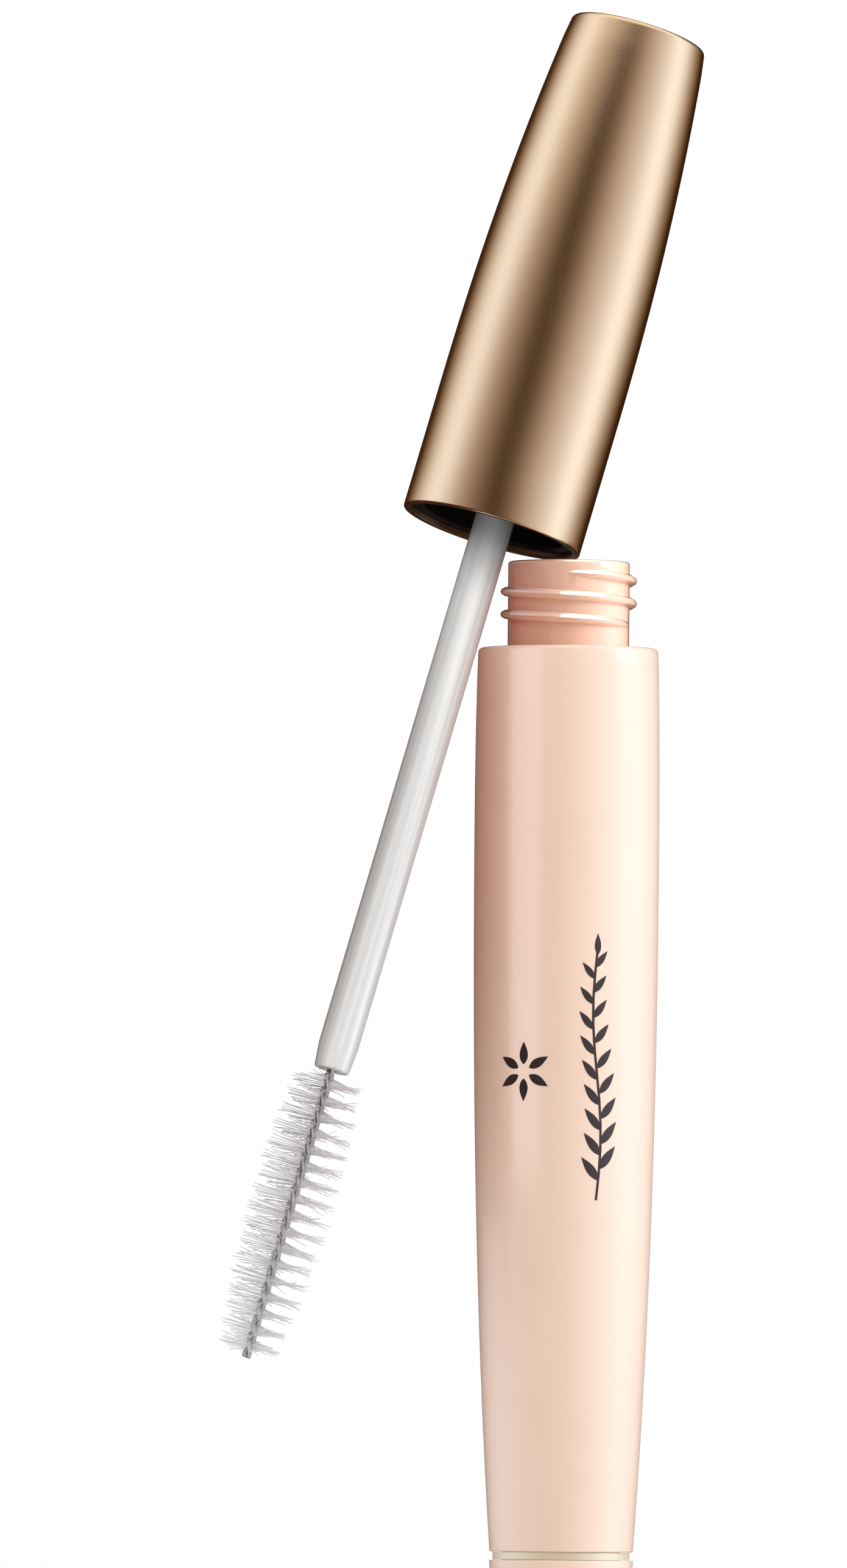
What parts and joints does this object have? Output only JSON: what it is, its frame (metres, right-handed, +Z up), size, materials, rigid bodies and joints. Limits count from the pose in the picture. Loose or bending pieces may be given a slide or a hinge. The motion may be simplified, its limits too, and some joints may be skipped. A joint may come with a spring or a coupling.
{
  "type": "mascara tube",
  "caption": "Slim upright mascara tube with a threaded neck, and its open applicator: tapered metal cap, round wand and twisted-wire brush leaning on the neck.",
  "frame": {"origin": "centre of the flat base, on the surface that the tube stands on", "axes": "+Z up along the barrel, +X to the right of the front view, +Y away from it; the applicator leans towards +X and a little towards +Y"},
  "size_m": [0.0415, 0.0237, 0.1392],
  "materials": {
    "barrel": "glossy peach moulded plastic",
    "bottle": "semi-gloss peach moulded plastic",
    "wiper": "soft milky plastic",
    "trim": "satin champagne metal",
    "cap": "satin champagne-gold anodised metal",
    "liner": "black moulded plastic",
    "seal": "soft white washer",
    "wand": "milky translucent moulded plastic",
    "wire": "bright drawn wire",
    "bristle": "clear and white fine fibres"
  },
  "bodies": {
    "tube": {"barrel_sleeve": "barrel", "bottle": "bottle", "wiper": "wiper", "trim_ring": "trim", "base_plug": "barrel"},
    "seal": {"seal_ring": "seal"},
    "applicator": {"cap_shell": "cap", "inner_cap": "liner", "wand_stem": "wand", "brush_wire": "wire", "bristles": "bristle"}
  },
  "joints": [
    {"name": "applicator_lift", "type": "slide", "parent": "tube", "child": "seal", "axis": [0, 0, 1], "range_m": [0, 0.085]},
    {"name": "applicator_turn", "type": "hinge", "parent": "seal", "child": "applicator", "pos_m": [-0.00685, 0.00012, 0.0932], "axis": [0.2731, 0.1219, 0.9542], "continuous": true}
  ]
}
